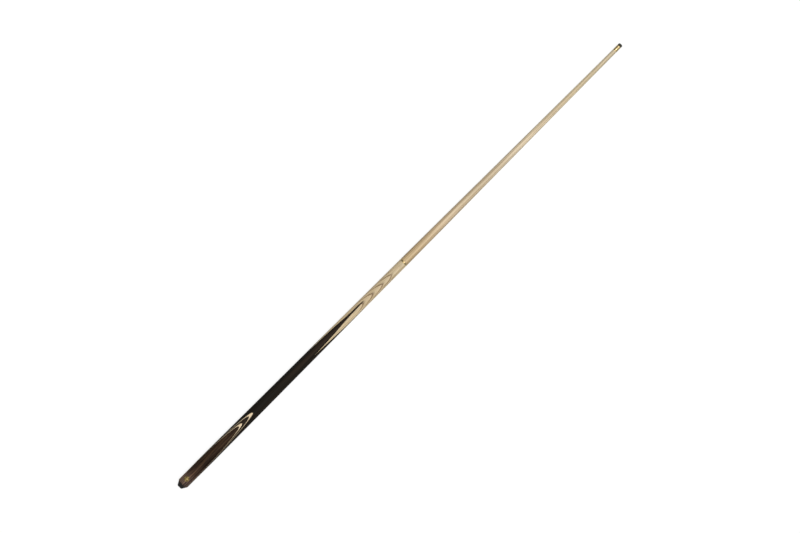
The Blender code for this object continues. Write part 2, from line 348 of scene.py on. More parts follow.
def skinned(name, rings, hollow=False):
    """A smooth-shaded object in the cue's frame, with faces from each ring to the next.

    A ring of one point is a pole. Other end rings are capped, or joined to each other if it is hollow.
    """
    bm = bmesh.new()
    loops = [[bm.verts.new(point) for point in ring] for ring in rings]
    pairs = list(zip(loops, loops[1:]))
    if hollow:
        pairs.append((loops[-1], loops[0]))
    else:
        for end in (loops[0], loops[-1]):
            if len(end) > 1:
                bm.faces.new(end)
    for near, far in pairs:
        count = max(len(near), len(far))
        for k in range(count):
            corners = (near[k - 1 if len(near) > 1 else 0], near[k if len(near) > 1 else 0])
            corners += (far[k if len(far) > 1 else 0], far[k - 1 if len(far) > 1 else 0])
            bm.faces.new(list(dict.fromkeys(corners)))
    bmesh.ops.recalc_face_normals(bm, faces=bm.faces)
    mesh = mesh_of(name, bm)
    mesh.shade_smooth()
    mesh.set_sharp_from_angle(angle=SHARP)
    obj = placed(name, mesh)
    obj.matrix_world = CUE
    return obj


def turned(name, outline, sides=SMALL_SIDES, hollow=False, relief=None, relief_within=OUTSIDE):
    """A solid of revolution. A radius of 0 is a pole.

    relief(x, angle) adds to every radius that is smaller than relief_within.
    """
    angles = around(sides)
    rings = []
    for x, radius in outline:
        if radius == 0:
            rings.append([(x, 0, 0)])
            continue
        shaped = relief is not None and radius < relief_within
        radii = [radius + (relief(x, angle) if shaped else 0) for angle in angles]
        rings.append([(x, r * math.sin(a), r * math.cos(a)) for r, a in zip(radii, angles)])
    return skinned(name, rings, hollow)


def cut(target, *cutters, operation="DIFFERENCE"):
    """Applies the cutters to the target's mesh."""
    for cutter in cutters:
        modifier = target.modifiers.new("cut", "BOOLEAN")
        modifier.operation = operation
        modifier.object = cutter
        modifier.solver = "EXACT"
    shown = target.evaluated_get(bpy.context.evaluated_depsgraph_get())
    mesh = bpy.data.meshes.new_from_object(shown)
    target.modifiers.clear()
    target.data = mesh
    return target


def triangulate(mesh):
    """Cuts a mesh's faces into triangles, and drops pairs of triangles that are folded onto each other."""
    work = bmesh.new()
    work.from_mesh(mesh)
    bmesh.ops.triangulate(work, faces=work.faces[:])
    by_corners = {}
    for face in work.faces:
        by_corners.setdefault(frozenset(corner.index for corner in face.verts), []).append(face)
    folded = [face for faces in by_corners.values() if len(faces) > 1 for face in faces]
    bmesh.ops.delete(work, geom=folded, context="FACES")
    work.to_mesh(mesh)
    work.free()


def copy_of(obj, name):
    made = placed(name, obj.data.copy())
    made.matrix_world = obj.matrix_world
    return made


def remove(*objects):
    for obj in objects:
        bpy.data.objects.remove(obj)


def settle(piece, body, material, slot, *nodes):
    """Puts a finished piece in the row frame, with its material and its place among the CAD's bodies."""
    piece.data.transform(piece.matrix_world)
    piece.matrix_world = Matrix.Identity(4)
    if any(len(face.vertices) > 4 for face in piece.data.polygons):
        triangulate(piece.data)
    piece.data.materials.clear()
    piece.data.materials.append(material)
    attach(piece, body)
    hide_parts(*nodes)
    return piece


# ---------------------------------------------------------------- the butt's shapes


def butt_outline():
    """Outer outline of the butt's wood: rounded end, slight swell and straight cone up to the collar."""
    collar_start = JOINT_X - COLLAR_LENGTH
    cone = [BUTT_SWELL[-1], (collar_start, cad_radius("butt_joint_insert", collar_start))]
    shoulder, swell = smooth_taper(BUTT_SHOULDER, 0.6 * MM), smooth_taper(BUTT_SWELL, 4 * MM)
    return shoulder + swell[1:] + smooth_taper(cone)[1:]


BUTT = butt_outline()


def butt_radius(x):
    return float(np.interp(x, *zip(*BUTT)))


def cone_radius(x):
    """The straight cone carried on over the whole butt, which the splices are set out from."""
    (near_x, near), (far_x, far) = BUTT[-2], BUTT[-1]
    return far + (near - far) * (far_x - x) / (far_x - near_x)


def splice_cutter(turn, setback, grow=0.0):
    """A wedge over one ebony splice, which widens from its point to a quarter of the butt."""
    stations = []
    for behind_point, degrees in smooth_taper(SPLICE_WIDENING, SPLICE_SPACING):
        x = SPLICE_APEX_X - setback - behind_point
        half_angle = math.radians(degrees)
        outer = cone_radius(x)
        stations.append((x, half_angle, min(outer * math.cos(half_angle), outer - POINT_DEPTH)))
    stations[0] = (stations[0][0] + grow, *stations[0][1:])
    stations.append((-PAST_END, QUARTER, CORE_END_HALF))
    rings = []
    for x, half_angle, floor in stations:
        slope = math.tan(half_angle)
        narrowest = POINT_HALF_WIDTH if half_angle < QUARTER else 0
        inner = max(floor * slope, narrowest) + grow / math.cos(half_angle)
        outer = inner + (OUTSIDE - floor) * slope
        corners = ((-inner, floor - grow), (inner, floor - grow), (outer, OUTSIDE), (-outer, OUTSIDE))
        rings.append([Matrix.Rotation(turn, 3, "X") @ Vector((x, y, z)) for y, z in corners])
    return skinned("cutter", rings)


def front_height(layer, x):
    """Height over the axis of the curved cut under a front layer."""
    _, apex_x, slope, ease = FRONT_LAYERS[layer]
    behind_apex = apex_x - x
    return cone_radius(apex_x) - slope * behind_apex + ease * behind_apex**2


def front_cutter(layer, next_layer=None):
    """The space between one cut of the front splice and the next, or everything over it."""
    rings = []
    for x in np.linspace(-PAST_END, FRONT_REACH_X, FRONT_STEPS + 1):
        low = front_height(layer, x)
        high = OUTSIDE if next_layer is None else front_height(next_layer, x)
        rings.append([(x, -OUTSIDE, low), (x, OUTSIDE, low), (x, OUTSIDE, high), (x, -OUTSIDE, high)])
    return skinned("cutter", rings)


def smooth_skin(obj, outline):
    """Exact normals where a cut piece shows the turned surface, so that cuts leave no marks in its shine."""
    xs, rs = map(np.array, zip(*outline))
    tolerance = 0.03 * MM
    step = 0.2 * MM
    least_outward = 0.05
    mesh = obj.data
    mesh.shade_smooth()
    mesh.set_sharp_from_angle(angle=SHARP)
    normals = [Vector(n.vector) for n in mesh.corner_normals]
    for face in mesh.polygons:
        middle = Vector((0, face.center.y, face.center.z))
        if face.normal.dot(middle.normalized()) < least_outward:
            continue
        points = [mesh.vertices[k].co for k in face.vertices]
        if any(abs(math.hypot(p.y, p.z) - np.interp(p.x, xs, rs)) > tolerance for p in points):
            continue
        for loop, point in zip(face.loop_indices, points):
            ahead, behind = np.interp([point.x + step, point.x - step], xs, rs)
            out = Vector((0, point.y, point.z)).normalized()
            normals[loop] = (out - Vector(((ahead - behind) / (2 * step), 0, 0))).normalized()
    mesh.normals_split_custom_set(normals)
    return obj


# ---------------------------------------------------------------- materials


class Finish:
    """A Principled material in the cue's frame, with short calls for the nodes that vary it."""

    def __init__(self, name, **settings):
        self.material = bpy.data.materials.new(name)
        self.material.use_nodes = True
        self.tree = self.material.node_tree
        self.shader = self.tree.nodes["Principled BSDF"]
        self.normal = None
        for socket, value in settings.items():
            self.shader.inputs[socket.replace("_", " ")].default_value = value
        place = self.node("TexCoord").outputs["Object"]
        inputs = {"Vector": place, "Location": TO_CUE.translation, "Rotation": TO_CUE.to_euler()}
        self.position = self.node("Mapping", inputs).outputs[0]

    def node(self, kind, inputs=None, **settings):
        made = self.tree.nodes.new("ShaderNode" + kind)
        for key, value in settings.items():
            setattr(made, key, value)
        for key, value in (inputs or {}).items():
            if isinstance(value, bpy.types.NodeSocket):
                self.tree.links.new(value, made.inputs[key])
            else:
                made.inputs[key].default_value = value
        return made

    def maths(self, operation, a, b=0.0, c=0.0):
        return self.node("Math", {0: a, 1: b, 2: c}, operation=operation).outputs[0]

    def axis(self, name):
        """The position's X, Y or Z."""
        return self.node("SeparateXYZ", {0: self.position}).outputs[name]

    def dot(self, direction):
        """Distance along a direction, times the direction's length."""
        inputs = {0: self.position, 1: direction}
        return self.node("VectorMath", inputs, operation="DOT_PRODUCT").outputs["Value"]

    def length(self, weights):
        """The position's length, with each of its axes weighted."""
        weighted = self.node("VectorMath", {0: self.position, 1: weights}, operation="MULTIPLY").outputs[0]
        return self.node("VectorMath", {0: weighted}, operation="LENGTH").outputs["Value"]

    def noise(self, along, across, detail=2.0, roughness=0.5, offset=0.0):
        """Noise with this many features to the metre along the cue and across it."""
        inputs = {"Vector": self.position, "Scale": (along, across, across), "Location": [offset] * 3}
        place = self.node("Mapping", inputs).outputs[0]
        settings = {"Vector": place, "Scale": 1.0, "Detail": detail, "Roughness": roughness}
        return self.node("TexNoise", settings).outputs["Fac"]

    def ramp(self, value, *stops):
        """A colour or a grey for each (place, shade), eased between them."""
        made = self.node("ValToRGB", {"Fac": value})
        elements = made.color_ramp.elements
        while len(elements) < len(stops):
            elements.new(1.0)
        for element, (place, shade) in zip(elements, stops):
            element.position = place
            element.color = (*shade, 1.0) if isinstance(shade, tuple) else (shade, shade, shade, 1.0)
        return made.outputs["Color"]

    def mix(self, factor, a, b, blend_type="MIX"):
        inputs = {0: factor, 6: a, 7: b}
        return self.node("Mix", inputs, data_type="RGBA", blend_type=blend_type).outputs[2]

    def times(self, a, b):
        return self.mix(1.0, a, b, "MULTIPLY")

    def span(self, value, low, high, to_low=0.0, to_high=1.0):
        return self.node("MapRange", {0: value, 1: low, 2: high, 3: to_low, 4: to_high}).outputs[0]

    def along_cue(self, *tones):
        """A colour for each (place along the cue, colour), eased between them."""
        first, last = tones[0][0], tones[-1][0]
        stops = [((x - first) / (last - first), colour) for x, colour in tones]
        return self.ramp(self.span(self.axis("X"), first, last), *stops)

    def bump(self, height, distance, strength=1.0):
        inputs = {"Height": height, "Distance": distance, "Strength": strength}
        if self.normal:
            inputs["Normal"] = self.normal
        self.normal = self.node("Bump", inputs).outputs[0]

    def done(self, colour, roughness):
        for socket, source in (("Base Color", colour), ("Roughness", roughness), ("Normal", self.normal)):
            if source:
                self.tree.links.new(source, self.shader.inputs[socket])
        return self.material


def ash(name, tilt, spacing, phase, tones, reach, strength, seed, sides=None):
    """Ash with growth rings that cross the cue at a small slope, so that they show as arrows on its front.

    tilt is the rings' slope along the cue, spacing their distance, phase moves them, reach says where they
    show, and strength how dark they are. tones are the pale wood's colours along the cue. sides, two places
    and the radii there, paints shade onto the wood across the cue, darker at its edges. seed moves the noise
    that bends the rings.
    """
    made = Finish(name, Specular_IOR_Level=0.2)
    direction = (-tilt / spacing, -math.sin(RING_LEAN) / spacing, math.cos(RING_LEAN) / spacing)
    wander = made.maths("MULTIPLY_ADD", made.noise(9, 60, 3.0, offset=seed), 0.6, -0.3)
    beside = made.dot((0.0, math.cos(RING_LEAN), math.sin(RING_LEAN)))
    beside = made.maths("MULTIPLY", made.maths("ABSOLUTE", beside), -RING_ROOF / spacing)
    rings = made.maths("ADD", made.maths("ADD", made.dot(direction), beside), wander)
    share = made.maths("FRACT", made.maths("ADD", rings, phase))
    along = made.axis("X")
    early = made.ramp(share, (0.0, 1.0), (0.06, 0.42), (0.13, 0.0), (0.66, 0.0), (0.85, 0.42), (1.0, 1.0))
    early = made.times(early, made.span(along, *reach[:2], FAINT, 1.0))
    early = made.times(early, made.span(along, *reach[2:], strength, strength * FAINT))
    fibres = made.noise(16, 1500, 3.0, 0.6)
    streaks = made.noise(5, 320, 3.0, 0.55, offset=3.0)
    cloud = made.noise(6, 45, 2.0, offset=7.0)
    pores = made.ramp(made.noise(170, 2600, 2.0, 0.6, offset=1.0), (0.54, 0.0), (0.64, 1.0))
    pores = made.times(pores, made.ramp(early, (0.1, 0.22), (0.7, 1.0)))
    beside_ring = made.ramp(share, (0.10, (1.10, 1.06, 1.06)), (0.34, (1.0, 1.0, 1.0)))
    pale = made.times(made.along_cue(*tones), beside_ring)
    colour = made.mix(early, pale, EARLY_WOOD)
    colour = made.times(colour, made.ramp(cloud, (0.3, (0.92, 0.92, 0.88)), (0.7, (1.05, 1.04, 1.03))))
    colour = made.times(colour, made.ramp(streaks, (0.32, (0.80, 0.76, 0.70)), (0.60, 1.07)))
    colour = made.times(colour, made.ramp(fibres, (0.32, 0.80), (0.68, 1.12)))
    colour = made.mix(made.ramp(pores, (0.0, 0.0), (1.0, 0.75)), colour, ASH_PORE)
    # Painted shade: the colour is darkened towards the edges of the cue and lightened on its -Y half.
    if sides:
        across = made.maths("DIVIDE", made.axis("Y"), made.span(along, *sides))
        colour = made.times(colour, made.ramp(made.span(across, -1.0, 1.0), *PAINTED_SIDE_SHADE))
    made.bump(fibres, 0.00003, 0.5)
    made.bump(made.maths("MULTIPLY", pores, -1.0), 0.00006, 0.6)
    return made.done(colour, made.span(fibres, 0.3, 0.7, 0.40, 0.54))


def arrow_phase():
    """Shift of the back half's growth rings that brings one arrow's apex to its place."""
    return ARROW_X / ARROW_SPACING - cone_radius(ARROW_X) / RING_DISTANCE


def dark_wood(name, shades, streak_depth, bands, tones=None):
    """Ebony, rosewood or dyed veneer: fine streaks along the cue, wider bands, and short open pores.

    With tones, colours along the cue, the shades are the bands' shares of them.
    """
    made = Finish(name, Specular_IOR_Level=0.02)
    fine = made.noise(12, 1300, 3.0, 0.6)
    wide = made.noise(*bands, 3.0, 0.55, offset=2.0)
    pores = made.ramp(made.noise(190, 3000, 2.0, 0.6, offset=5.0), (0.60, 0.0), (0.70, 1.0))
    colour = made.ramp(wide, *shades)
    if tones:
        patches = made.noise(28, 260, 3.0, 0.6, offset=9.0)
        figure = made.ramp(patches, (0.36, (0.62, 0.60, 0.66)), (0.62, (1.38, 1.30, 1.22)))
        colour = made.times(made.times(made.along_cue(*tones), colour), figure)
    colour = made.times(colour, made.ramp(fine, (0.3, 1.0 - streak_depth), (0.7, 1.0 + streak_depth)))
    colour = made.mix(made.ramp(pores, (0.0, 0.0), (1.0, 0.6)), colour, DARK_PORE)
    made.bump(fine, 0.00002, 0.4)
    made.bump(made.maths("MULTIPLY", pores, -1.0), 0.00005, 0.5)
    return made.done(colour, made.span(fine, 0.3, 0.7, 0.40, 0.56))


def pale_veneer():
    """Pale veneer, darker towards the sides of the butt, where it shows as narrow lines."""
    made = Finish("pale_veneer", Specular_IOR_Level=0.2)
    fine = made.noise(14, 1500, 3.0, 0.6)
    wide = made.noise(7, 150, 2.0, offset=4.0)
    colour = made.ramp(wide, (0.3, (0.50, 0.37, 0.22)), (0.7, (0.66, 0.54, 0.36)))
    colour = made.times(colour, made.ramp(fine, (0.3, 0.85), (0.7, 1.08)))
    beside = made.length((0, 1, 0))
    # The veneer's colour is darkened by its distance beside the middle of the butt.
    colour = made.times(colour, made.ramp(made.span(beside, 0.0, VENEER_REACH), *VENEER_SIDE_DARKENING))
    made.bump(fine, 0.00002, 0.4)
    return made.done(colour, made.span(fine, 0.3, 0.7, 0.34, 0.46))


def turned_metal(name, clean, tarnish, lines):
    """Metal off the lathe: fine lines round the cue, so many to the metre, and spots of tarnish."""
    made = Finish(name, Metallic=1.0)
    rounds = made.noise(lines, 30, 2.0, 0.7)
    spots = made.noise(260, 260, 4.0, 0.65, offset=6.0)
    specks = made.noise(1900, 1900, 2.0, 0.6, offset=2.0)
    dull = made.ramp(spots, (0.42, 0.0), (0.66, 1.0))
    colour = made.mix(dull, (*clean, 1.0), (*tarnish, 1.0))
    colour = made.times(colour, made.ramp(rounds, (0.3, 0.86), (0.7, 1.06)))
    darkest = (*(0.35 * c for c in tarnish), 1.0)
    colour = made.mix(made.ramp(specks, (0.64, 0.0), (0.74, 0.5)), colour, darkest)
    made.bump(rounds, 0.00001, 0.5)
    made.bump(spots, 0.00002, 0.3)
    by_spots, by_lines = made.span(spots, 0.35, 0.7, 0.34, 0.50), made.span(rounds, 0.3, 0.7, -0.04, 0.06)
    return made.done(colour, made.maths("ADD", by_spots, by_lines))


def badge_metal():
    """Rubbed brass where the badge stands proud, dark patina on its sunk field, and hairline scratches."""
    made = Finish("badge_brass", Metallic=0.40, Specular_IOR_Level=0.1)
    height = made.length((0, 1, 1))
    proud = made.span(height, BUTT_SWELL[0][1] - 0.8 * BADGE_SUNK, BUTT_SWELL[0][1])
    scratches = made.noise(900, 90, 3.0, 0.7)
    cross = made.noise(110, 1400, 3.0, 0.7, offset=3.0)
    blotches = made.noise(520, 520, 3.0, 0.6, offset=1.0)
    metal = made.ramp(cross, (0.3, (0.24, 0.17, 0.055)), (0.7, (0.36, 0.27, 0.11)))
    metal = made.times(metal, made.ramp(scratches, (0.3, 0.84), (0.7, 1.06)))
    metal = made.times(metal, made.ramp(blotches, (0.35, 0.55), (0.6, 1.0)))
    colour = made.mix(proud, (0.080, 0.053, 0.014, 1.0), metal)
    made.bump(scratches, 0.00001, 0.5)
    made.bump(cross, 0.00001, 0.4)
    return made.done(colour, made.span(blotches, 0.3, 0.7, 0.62, 0.46))


def leather():
    """Chalked leather: dark pressed layers on the side, and a rough greenish crown."""
    made = Finish("chalked_leather", Specular_IOR_Level=0.2)
    layers = made.noise(2600, 130, 2.0, 0.6)
    grain = made.noise(2400, 2400, 4.0, 0.7, offset=2.0)
    patches = made.noise(420, 420, 3.0, 0.6, offset=5.0)
    start, end = cad_ends("tip")
    crown = made.span(made.axis("X"), start + 0.55 * (end - start), end)
    chalk = made.times(made.ramp(patches, (0.35, 0.25), (0.65, 1.0)), crown)
    side = made.ramp(layers, (0.3, (0.022, 0.019, 0.013)), (0.7, (0.062, 0.055, 0.036)))
    colour = made.mix(chalk, side, (0.060, 0.085, 0.062, 1.0))
    colour = made.times(colour, made.ramp(grain, (0.3, 0.7), (0.7, 1.25)))
    made.bump(grain, 0.00008, 0.8)
    made.bump(layers, 0.00003, 0.5)
    return made.done(colour, made.span(grain, 0.3, 0.7, 0.72, 0.95))


def rubber():
    """Moulded rubber, scuffed paler where it meets the floor."""
    made = Finish("moulded_rubber", Specular_IOR_Level=0.12)
    grain = made.noise(2200, 2200, 3.0, 0.6)
    dust = made.noise(330, 330, 4.0, 0.65, offset=4.0)
    near_end = made.span(made.axis("X"), 0.0, 2.2 * MM, 1.0, 0.12)
    scuffed = made.times(near_end, made.ramp(dust, (0.4, 0.1), (0.65, 1.0)))
    colour = made.ramp(dust, (0.3, (0.007, 0.0065, 0.006)), (0.7, (0.013, 0.012, 0.011)))
    colour = made.mix(scuffed, colour, (0.040, 0.037, 0.034, 1.0))
    made.bump(grain, 0.00004, 0.6)
    return made.done(colour, made.span(dust, 0.3, 0.7, 0.62, 0.85))


def plain_floor():
    """A floor bright enough in itself to look white, with hardly a shadow on it."""
    made = Finish("floor", Specular_IOR_Level=0.0, Emission_Color=WHITE, Emission_Strength=0.80)
    tone = made.noise(1.5, 1.5, 2.0)
    return made.done(made.ramp(tone, (0.3, 0.19), (0.7, 0.20)), None)


# ---------------------------------------------------------------- pieces of the back half


def make_butt_wood():
    """The wood of the back half, cut from one turned blank so that neighbours share their edges exactly."""
    bore_end, bore = cad_ends("balance_weight")[1], cad_radius("balance_weight", 0.05)
    socket_start, sleeve = cad_rings("butt_joint_insert")[0]
    outline = [
        (bore_end, 0),
        (bore_end, bore),
        (BUTT[0][0], bore),
        *BUTT,
        (BUTT[-1][0], sleeve),
        (socket_start, sleeve),
        (socket_start, 0),
    ]
    blank = turned("blank", outline, WOOD_SIDES)
    over_front = front_cutter(0)
    core = copy_of(blank, "ash_back_half")
    splices = [(SPLICE_TURN + k * 2 * QUARTER, *splice) for k, splice in enumerate(SPLICE_SETBACKS)]
    pockets = [splice_cutter(turn, setback, GLUE_LINE) for turn, _, setback in splices]
    cut(core, *pockets, over_front)
    settle(smooth_skin(core, BUTT), "butt", ASH_BACK, "ash", "butt_ash_core")
    remove(*pockets)

    for turn, side, setback in splices:
        splice = copy_of(blank, f"ebony_{side}")
        wedge = splice_cutter(turn, setback)
        cut(splice, wedge, operation="INTERSECT")
        cut(splice, over_front)
        settle(smooth_skin(splice, BUTT), "butt", EBONY, "ebony", f"ebony_splice_{side}")
        remove(wedge)

    finishes = (
        ("pale_line_outer", PALE, "pale_veneer"),
        ("black_line", BLACK, "black_veneer"),
        ("pale_line_inner", PALE, "pale_veneer"),
        ("rosewood_front", ROSEWOOD, "rosewood"),
    )
    for layer, (name, finish, slot) in enumerate(finishes):
        topmost = layer + 1 == len(FRONT_LAYERS)
        slab = front_cutter(layer, None if topmost else layer + 1)
        piece = copy_of(blank, name)
        cut(piece, slab, operation="INTERSECT")
        remove(slab)
        if topmost:
            cutter = badge_pocket_cutter()
            cut(piece, cutter)
            remove(cutter)
        settle(smooth_skin(piece, BUTT), "butt", finish, slot, FRONT_LAYERS[layer][0])
    remove(blank, over_front)


def badge_circle(radius, sides):
    """(x, y) of points round the badge's middle."""
    return [(BADGE_X + radius * math.cos(a), radius * math.sin(a)) for a in around(sides)]


def badge_pocket_cutter():
    circle = badge_circle(BADGE_RADIUS, SMALL_SIDES)
    floor = butt_radius(BADGE_X) - BADGE_DEPTH
    return skinned("cutter", [[(x, y, z) for x, y in circle] for z in (floor, OUTSIDE)])


def badge_relief(out, angle):
    """Height of the badge's face over the wood: a ridged four-pointed star and a thin rim on a sunk field."""
    reach = STAR_WAIST + (STAR_REACH - STAR_WAIST) * abs(math.cos(2 * angle)) ** 3
    star = min(1.0, max(0.0, (reach - out) / STAR_BEVEL))
    ridge = STAR_RIDGE * star * (1 - out / reach if out < reach else 0.0)
    rim = min(1.0, max(0.0, (out - BADGE_RADIUS + BADGE_RIM) / RIM_BEVEL))
    eased_rim = rim * min(1.0, (BADGE_RADIUS - out) / RIM_EDGE + RIM_EDGE_SHARE)
    return (BADGE_SUNK + BADGE_PROUD) * max(star, eased_rim) - BADGE_SUNK + ridge


def make_badge():
    """A brass disc with the badge's relief, which follows the wood's roundness."""
    sides = 2 * SMALL_SIDES
    rings = [[(BADGE_X, 0, butt_radius(BADGE_X) + badge_relief(0, 0))]]
    for out in np.linspace(0, BADGE_RADIUS, BADGE_STEPS + 1)[1:]:
        ring = []
        for angle, (x, y) in zip(around(sides), badge_circle(out, sides)):
            ring.append((x, y, math.sqrt(butt_radius(x) ** 2 - y**2) + badge_relief(out, angle)))
        rings.append(ring)
    floor = butt_radius(BADGE_X) - BADGE_DEPTH
    rings.append([(x, y, floor) for x, y, _ in rings[-1]])
    rings.append([(BADGE_X, 0, floor)])
    settle(skinned("round_badge", rings), "butt", BADGE, "badge", "badge")


def make_foot():
    """Rubber foot with a moulded line round it and a recess for its screw."""
    side = []
    # The foot only widens, so a ring that is no wider than the last one lies in its recess.
    for ring in cad_rings("bumper"):
        if not side or ring[1] > side[-1][1]:
            side.append(ring)
    start = side[0][0]
    recess = cad_radius("bumper_washer", start + 3 * MM) + 0.3 * MM
    floor = cad_ends("bumper_washer")[1]
    corners = [(start, recess, 0.35 * MM)]
    corners += [(x, radius, 0.22 * MM) for x, radius in side[:-1]]
    for x, depth, ease in FOOT_LINE:
        place = start + FOOT_LINE_X + x
        corners.append((place, float(np.interp(place, *zip(*side))) - depth, ease))
    corners += [
        (BUTT[0][0], side[-1][1], 0.12 * MM),
        (BUTT[0][0], FOOT_HOLE, 0),
        (floor, FOOT_HOLE, 0),
        (floor, recess, 0.2 * MM),
    ]
    foot = turned("rubber_foot", eased(corners), hollow=True)
    settle(foot, "butt", RUBBER, "rubber", "bumper")


def make_washer():
    """Steel washer under the screw's head."""
    start, end = cad_ends("bumper_washer")
    outer = cad_radius("bumper_washer", start)
    corners = [(start, FOOT_HOLE, 0.1 * MM), (start, outer, 0.15 * MM)]
    corners += [(end, outer, 0.15 * MM), (end, FOOT_HOLE, 0.1 * MM)]
    washer = turned("foot_washer", eased(corners, 3), hollow=True)
    settle(washer, "butt", STEEL, "steel", "bumper_washer")


def make_screw():
    """Screw with a crowned head and a cross recess."""
    start, end = cad_ends("bumper_screw")
    head, shank = cad_radius("bumper_screw", start + MM), cad_radius("bumper_screw", end - 3 * MM)
    head_end = start + 1.6 * MM
    crown = [(start + 0.12 * MM, 0.55 * head, 0), (start + 0.5 * MM, 0.93 * head, 0.3 * MM)]
    crown += [(start + 0.8 * MM, head, 0.15 * MM), (head_end, head, 0)]
    outline = [(start, 0), (start, 0.2 * head), *eased(crown)[1:]]
    outline += [(head_end, shank), (end - shank, shank), (end, 0)]
    screw = turned("foot_screw", outline)
    slots = [cross_slot(start, quarter) for quarter in (0, 1)]
    cut(screw, *slots)
    screw.data.set_sharp_from_angle(angle=SHARP)
    settle(screw, "butt", STEEL, "steel", "bumper_screw")
    remove(*slots)


def cross_slot(start, quarter):
    """One arm of the screw's cross recess, narrower and shorter at its floor."""
    rings = []
    for x, length, width in ((start - MM, 2.3 * MM, 0.62 * MM), (start + 1.1 * MM, 1.2 * MM, 0.42 * MM)):
        corners = ((-length, -width), (length, -width), (length, width), (-length, width))
        rings.append([(x, *((y, z) if quarter else (z, y))) for y, z in corners])
    return skinned("cutter", rings)


# ---------------------------------------------------------------- the joint


def thread_depth(x, angle, start, end):
    """0 on a right-hand thread's crest to 1 in its groove, fading out at both ends of the thread."""
    phase = (x / THREAD_PITCH + angle / math.tau) % 1
    groove = min(1.0, max(0.0, 2.6 * min(phase, 1 - phase) - 0.2))
    ease = min(1.0, (x - start) / THREAD_PITCH, (end - x) / THREAD_PITCH)
    return groove * max(0.0, ease)


def make_joint():
    """Insert, bush and stud."""
    crest = cad_radius("joint_stud", JOINT_X - 10 * MM)
    make_sleeves(crest + THREAD_CLEARANCE)
    make_stud(crest)


def make_sleeves(hole):
    """Insert and bush, which end in lined collars as wide as the wood. Only the bush is threaded."""
    bush_start, bush_end = (JOINT_X + reach for reach in BUSH_THREAD)

    def bush_thread(x, angle):
        return THREAD_CUT * thread_depth(x, angle, bush_start, bush_end)

    for name, node, side, body in (
        ("back_collar", "butt_joint_insert", -1, "butt"),
        ("front_collar", "shaft_joint_bush", 1, "bush"),
    ):
        rings = cad_rings(node)
        face = JOINT_X + side * COLLAR_GAP
        wood = JOINT_X + side * COLLAR_LENGTH
        sleeve_end = min(rings)[0] if side < 0 else max(rings)[0]
        sleeve = cad_radius(node, sleeve_end)
        rim, wood_rim = cad_radius(node, face), cad_radius(node, wood)
        outer = [(face, rim, 0.25 * MM)]
        for share in COLLAR_LINES:
            x = face + share * (wood - face)
            radius = rim + share * (wood_rim - rim)
            outer += turned_line(x, radius, side * 0.14 * MM, 0.13 * MM, 0.04 * MM)
        outer += [(wood, wood_rim, 0.06 * MM), (wood, sleeve, 0), (sleeve_end, sleeve, 0.3 * MM)]
        thread_xs, relief = (), None
        if body == "bush":
            thread_xs = np.arange(bush_end + MM, bush_start - 0.1 * MM, -THREAD_PITCH / 10)
            relief = bush_thread
        thread = [(float(x), hole, 0) for x in thread_xs]
        bore = [(sleeve_end, hole, 0.2 * MM), *thread, (face, hole, 0.5 * MM)]
        outline = eased([*outer, *bore], 3)
        sleeve_piece = turned(name, outline, hollow=True, relief=relief, relief_within=hole + 0.01 * MM)
        settle(sleeve_piece, body, BRASS, "brass", node)


def make_stud(crest):
    """The stud: a pin of this radius in the back half, and the thread with a pilot for the front half."""
    start, end = cad_ends("joint_stud")
    neck_depth = 0.65 * MM
    neck = crest - neck_depth
    thread_start, thread_end = (JOINT_X + reach for reach in STUD_THREAD)
    pilot = cad_radius("joint_stud", end - MM)
    xs = np.arange(thread_start, thread_end, THREAD_PITCH / 12)
    outline = [(start, 0), (start, neck), (start + 0.6 * MM, crest), (JOINT_X - 2 * MM, crest)]
    outline += [(JOINT_X - 1.4 * MM, neck), (thread_start - 0.5 * MM, neck)]
    outline += [(float(x), crest) for x in xs]
    outline += [(thread_end + 0.3 * MM, crest - 0.2 * MM), (thread_end + 0.9 * MM, pilot)]
    outline += eased([(end - 2 * MM, pilot, 0), (end, pilot, 0.7 * MM), (end, 0, 0)])

    def groove(x, angle):
        return -neck_depth * thread_depth(x, angle, thread_start, thread_end)

    settle(turned("joint_screw", outline, relief=groove), "butt", BRASS, "brass", "joint_stud")


# ---------------------------------------------------------------- pieces of the front half


def make_shaft():
    """The turned ash shaft with its tenon for the ferrule and its socket for the bush."""
    face = JOINT_X + COLLAR_LENGTH
    socket_end, sleeve = max(cad_rings("shaft_joint_bush"))
    rings = cad_rings("shaft_wood", highest=cad_rings("ferrule")[0][0])
    # The shaft only tapers, so a ring that is narrower than a later one lies in the socket.
    outside = [ring for k, ring in enumerate(rings) if ring[1] >= max(r for _, r in rings[k:])]
    stations = [(face, cad_radius("shaft_joint_bush", face)), *outside[1:]]
    tenon = cad_rings("shaft_wood")[-1]
    outline = [
        (socket_end, 0),
        (socket_end, sleeve),
        (face, sleeve),
        *smooth_taper(stations),
        (stations[-1][0], tenon[1]),
        tenon,
        (tenon[0], 0),
    ]
    shaft = turned("ash_shaft", outline, WOOD_SIDES)
    settle(shaft, "front_half", ASH_FRONT, "ash", "shaft_wood")


def make_ferrule():
    """Brass sleeve with two fine turned lines by the wood and eased ends."""
    start = cad_rings("shaft_wood", highest=cad_ends("ferrule")[0])[-1][0]
    end = cad_ends("tip")[0]
    radius, bore = cad_radius("ferrule", end), cad_rings("shaft_wood")[-1][1]
    corners = [(start, bore, 0), (start, radius, 0.15 * MM)]
    for line in (1.5 * MM, 2.5 * MM):
        corners += turned_line(start + line, radius, 0.2 * MM, 0.14 * MM, 0.05 * MM)
    corners += [(end, radius, 0.25 * MM), (end, bore, 0)]
    ferrule = turned("brass_ferrule", eased(corners), hollow=True)
    settle(ferrule, "front_half", BRASS, "brass", "ferrule")


